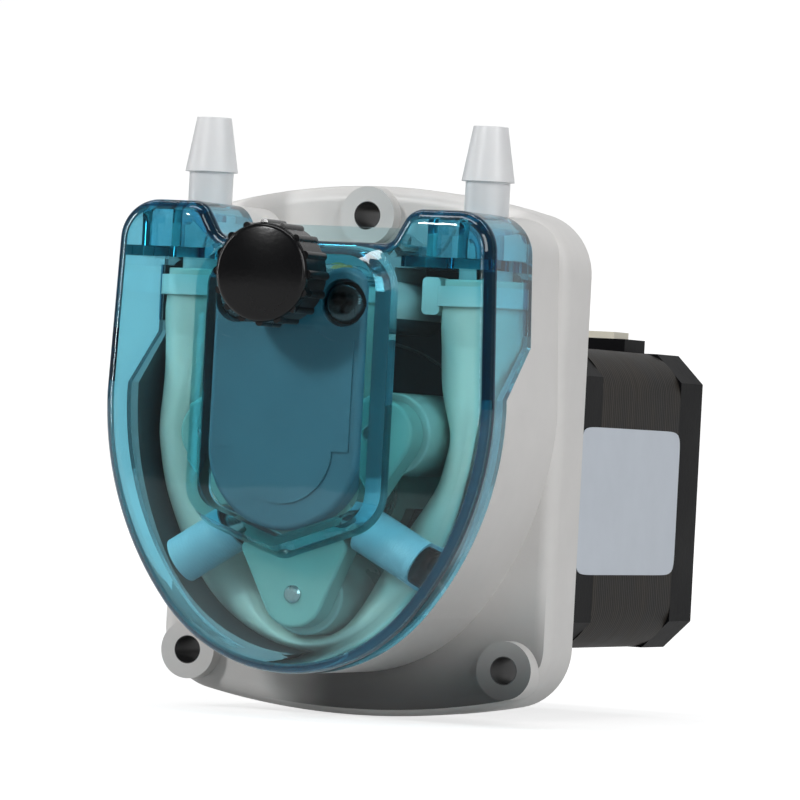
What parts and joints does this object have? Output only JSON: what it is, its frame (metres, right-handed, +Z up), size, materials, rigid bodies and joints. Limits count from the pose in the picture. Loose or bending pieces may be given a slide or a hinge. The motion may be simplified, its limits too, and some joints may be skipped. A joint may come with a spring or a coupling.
{
  "type": "peristaltic pump head",
  "caption": "Panel-mounted peristaltic pump head: a roller rotor squeezes a looped tube behind a clear thumb-screw cover, on a square stepping motor.",
  "frame": {"origin": "on the drive axis, in the plane of the flange rim that rests on the panel", "axes": "+Z up towards the hose fittings, +Y back along the drive axis towards the motor, +X to the right as seen from the front"},
  "size_m": [0.0576, 0.1098, 0.0801],
  "materials": {
    "housing": "fine moulded texture",
    "cover": "clear blue tinted moulding",
    "knob": "satin",
    "bracket": "fine moulded texture",
    "black_screws": "black zinc",
    "steel": "bright",
    "brass": "turned",
    "rotor": "satin moulded",
    "roller": "smooth",
    "sleeve": "smooth",
    "tube": "smooth",
    "fitting": "translucent moulded",
    "clamp": "smooth",
    "motor_cap": "satin black",
    "stack": "black laminations",
    "connector": "moulded"
  },
  "bodies": {
    "housing": {"base_housing": "housing", "stud_insert": "brass", "front_bracket": "bracket", "bracket_screws": "black_screws", "front_bearing": "steel", "rear_bearing": "steel", "pump_tube": "tube", "hose_fitting_left": "fitting", "hose_fitting_right": "fitting", "tube_clamp_left": "clamp", "tube_clamp_right": "clamp", "motor_front_cap": "motor_cap", "motor_stator_stack": "stack", "motor_rear_cap": "motor_cap", "motor_connector": "connector", "connector_pins": "brass", "motor_front_bearing": "steel", "motor_rear_bearing": "steel", "motor_mount_screws": "black_screws", "motor_long_screws": "steel"},
    "cover": {"transparent_cover": "cover"},
    "knob": {"thumb_knob": "knob", "knob_stud": "steel"},
    "rotor": {"rotor_front_plate": "rotor", "rotor_rear_plate": "rotor", "rotor_hub": "rotor", "roller_pins": "steel", "guide_spindles": "steel", "drive_shaft": "steel", "motor_shaft": "steel", "motor_rotor_core": "stack"},
    "roller_right": {"squeeze_roller_right": "roller"},
    "roller_left": {"squeeze_roller_left": "roller"},
    "roller_lower": {"squeeze_roller_lower": "roller"},
    "sleeve_upper": {"guide_sleeve_upper": "sleeve"},
    "sleeve_left": {"guide_sleeve_left": "sleeve"},
    "sleeve_right": {"guide_sleeve_right": "sleeve"}
  },
  "joints": [
    {"name": "cover_removal", "type": "slide", "parent": "housing", "child": "cover", "axis": [0, -1, 0], "range_m": [0, 0.04]},
    {"name": "knob_turn", "type": "hinge", "parent": "cover", "child": "knob", "pos_m": [0, -0.0416, 0.0279], "axis": [0, -1, 0], "continuous": true},
    {"name": "rotor_spin", "type": "hinge", "parent": "housing", "child": "rotor", "pos_m": [0, -0.0185, 0], "axis": [0, -1, 0], "continuous": true, "deforming": ["pump_tube"]},
    {"name": "roller_right_spin", "type": "hinge", "parent": "rotor", "child": "roller_right", "pos_m": [0.01209, -0.0185, 0.00764], "axis": [0, -1, 0], "continuous": true},
    {"name": "roller_left_spin", "type": "hinge", "parent": "rotor", "child": "roller_left", "pos_m": [-0.01266, -0.0185, 0.00665], "axis": [0, -1, 0], "continuous": true},
    {"name": "roller_lower_spin", "type": "hinge", "parent": "rotor", "child": "roller_lower", "pos_m": [0.00057, -0.0185, -0.01429], "axis": [0, -1, 0], "continuous": true},
    {"name": "sleeve_upper_spin", "type": "hinge", "parent": "rotor", "child": "sleeve_upper", "pos_m": [-0.00062, -0.0275, 0.01549], "axis": [-0.0401, 0, 0.9992], "continuous": true},
    {"name": "sleeve_left_spin", "type": "hinge", "parent": "rotor", "child": "sleeve_left", "pos_m": [-0.0131, -0.0275, -0.00828], "axis": [-0.8453, 0, -0.5344], "continuous": true},
    {"name": "sleeve_right_spin", "type": "hinge", "parent": "rotor", "child": "sleeve_right", "pos_m": [0.01372, -0.0275, -0.0072], "axis": [0.8854, 0, -0.4648], "continuous": true}
  ],
  "couplings": [
    {"joint": "roller_right_spin", "follows": "rotor_spin", "ratio": -3.6},
    {"joint": "roller_left_spin", "follows": "rotor_spin", "ratio": -3.6},
    {"joint": "roller_lower_spin", "follows": "rotor_spin", "ratio": -3.6}
  ]
}
